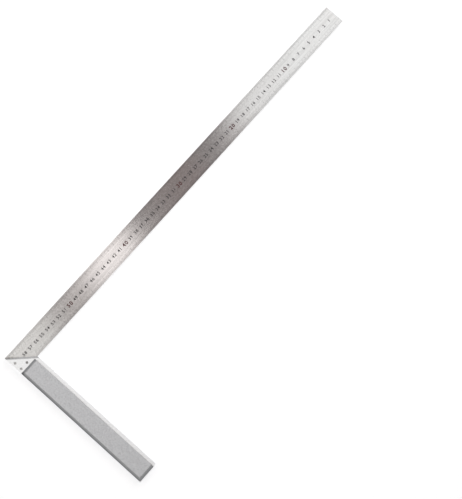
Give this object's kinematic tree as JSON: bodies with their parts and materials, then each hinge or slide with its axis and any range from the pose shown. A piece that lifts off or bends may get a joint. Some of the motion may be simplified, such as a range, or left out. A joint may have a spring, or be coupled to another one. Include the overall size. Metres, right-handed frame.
{
  "type": "steel square ruler",
  "caption": "L-shaped measuring square: a thin graduated steel blade riveted at a right angle into the slotted head of an aluminium stock with a raised pad.",
  "frame": {"origin": "outer right-angle corner, where the blade's outer edge meets the stock's outer side, on the blade's mid-plane", "axes": "+X along the blade's outer edge to its free end, -Y along the stock's outer side, +Z out of the numbered face of the blade"},
  "size_m": [0.6, 0.221, 0.012],
  "materials": {
    "blade_steel": "brushed",
    "stock_aluminium": "satin",
    "rivet_steel": "satin",
    "scale_black": "satin",
    "scale_red": "satin"
  },
  "bodies": {
    "root": {"blade": "blade_steel", "stock": "stock_aluminium", "rivet_outer_corner": "rivet_steel", "rivet_outer_shoulder": "rivet_steel", "rivet_inner_shoulder": "rivet_steel"}
  },
  "joints": []
}
